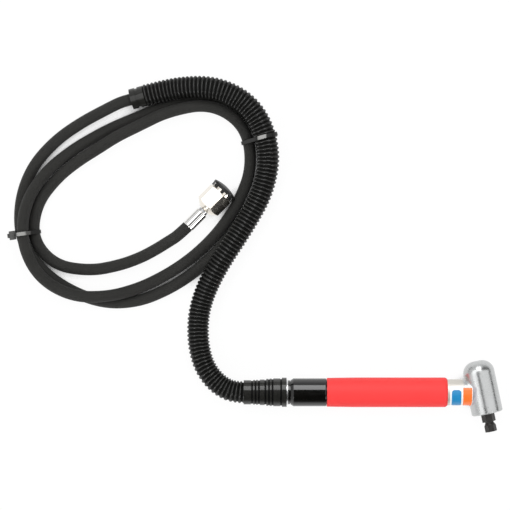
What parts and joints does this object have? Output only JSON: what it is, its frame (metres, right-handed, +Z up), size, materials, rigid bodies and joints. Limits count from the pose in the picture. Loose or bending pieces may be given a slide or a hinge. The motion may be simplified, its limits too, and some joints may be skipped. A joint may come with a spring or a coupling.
{
  "type": "right angle air die grinder",
  "caption": "Right angle air die grinder with a domed alloy head, collet nose, red grip and twist throttle, on a ribbed exhaust hose and a coiled air hose.",
  "frame": {"origin": "on the table, under the middle of the bare tool's box, hoses left out", "axes": "+X along the body towards the head, +Y towards the domed side of the head, away from the collet, +Z up from the table"},
  "size_m": [0.4837, 0.3488, 0.0366],
  "materials": {
    "head_alloy": "polished",
    "grip_red": "smooth, semi-gloss",
    "sleeve_black": "gloss black",
    "valve_alloy": "turned",
    "steel": "ground",
    "black_steel": "black oxide",
    "vane": "phenolic laminate",
    "brass": "turned",
    "chrome": "bright",
    "air_hose_rubber": "matt, fine fabric texture",
    "exhaust_hose_black": "satin",
    "cuff_rubber": "satin",
    "cap_black": "satin",
    "tie_nylon": "satin",
    "seal_rubber": "matt",
    "sticker_film": "printed film"
  },
  "bodies": {
    "tool": {"head_housing": "head_alloy", "motor_housing": "valve_alloy", "grip_sleeve": "grip_red", "valve_housing": "sleeve_black", "throttle_ring_1": "seal_rubber", "throttle_ring_2": "seal_rubber", "exhaust_spigot": "valve_alloy", "inlet_fitting": "brass", "inlet_ferrule": "chrome", "front_end_plate": "steel", "rear_end_plate": "steel", "motor_cylinder": "steel", "front_bearing_outer": "steel", "rear_bearing_outer": "steel", "upper_bearing_outer": "steel", "lower_bearing_outer": "steel", "front_bearing_clip": "steel", "bearing_retainer": "steel", "exhaust_cuff": "cuff_rubber", "exhaust_hose": "exhaust_hose_black", "exhaust_collar": "cuff_rubber", "air_hose_inner": "air_hose_rubber", "air_hose": "air_hose_rubber", "hose_ferrule": "chrome", "hose_stem": "steel", "cable_tie_left": "tie_nylon", "cable_tie_right": "tie_nylon"},
    "rotor": {"rotor": "steel", "vane_1": "vane", "vane_2": "vane", "vane_3": "vane", "vane_4": "vane", "pinion": "steel", "front_bearing_inner": "steel", "rear_bearing_inner": "steel"},
    "spindle": {"spindle": "black_steel", "bevel_gear": "steel", "gear_nut": "steel", "spindle_spacer": "steel", "upper_bearing_inner": "steel", "lower_bearing_inner": "steel", "collet": "steel"},
    "collet_nut": {"collet_nut": "black_steel"},
    "throttle": {"throttle_sleeve": "sleeve_black", "throttle_pin": "steel", "valve_spool": "brass"},
    "swivel_nut": {"swivel_nut": "chrome"},
    "dust_cap": {"dust_cap": "cap_black"}
  },
  "joints": [
    {"name": "rotor_spin", "type": "hinge", "parent": "tool", "child": "rotor", "pos_m": [0.09856, 0.00396, 0.01535], "axis": [1, 0, 0], "continuous": true},
    {"name": "spindle_spin", "type": "hinge", "parent": "tool", "child": "spindle", "pos_m": [0.09856, 0.00396, 0.01535], "axis": [0.2079, -0.9781, 0], "continuous": true},
    {"name": "collet_nut_turn", "type": "hinge", "parent": "spindle", "child": "collet_nut", "pos_m": [0.09856, 0.00396, 0.01535], "axis": [0.2079, -0.9781, 0], "range_deg": [0, 360]},
    {"name": "throttle_twist", "type": "hinge", "parent": "tool", "child": "throttle", "pos_m": [0.09856, 0.00396, 0.01535], "axis": [1, 0, 0], "range_deg": [0, 45]},
    {"name": "swivel_nut_spin", "type": "hinge", "parent": "tool", "child": "swivel_nut", "pos_m": [-0.1906, 0.1665, 0.0142], "axis": [0.7071, 0.7071, 0], "continuous": true},
    {"name": "dust_cap_turn", "type": "hinge", "parent": "swivel_nut", "child": "dust_cap", "pos_m": [-0.1906, 0.1665, 0.0142], "axis": [0.7071, 0.7071, 0], "range_deg": [0, 360]}
  ],
  "couplings": [
    {"joint": "spindle_spin", "follows": "rotor_spin", "ratio": -0.72222}
  ]
}
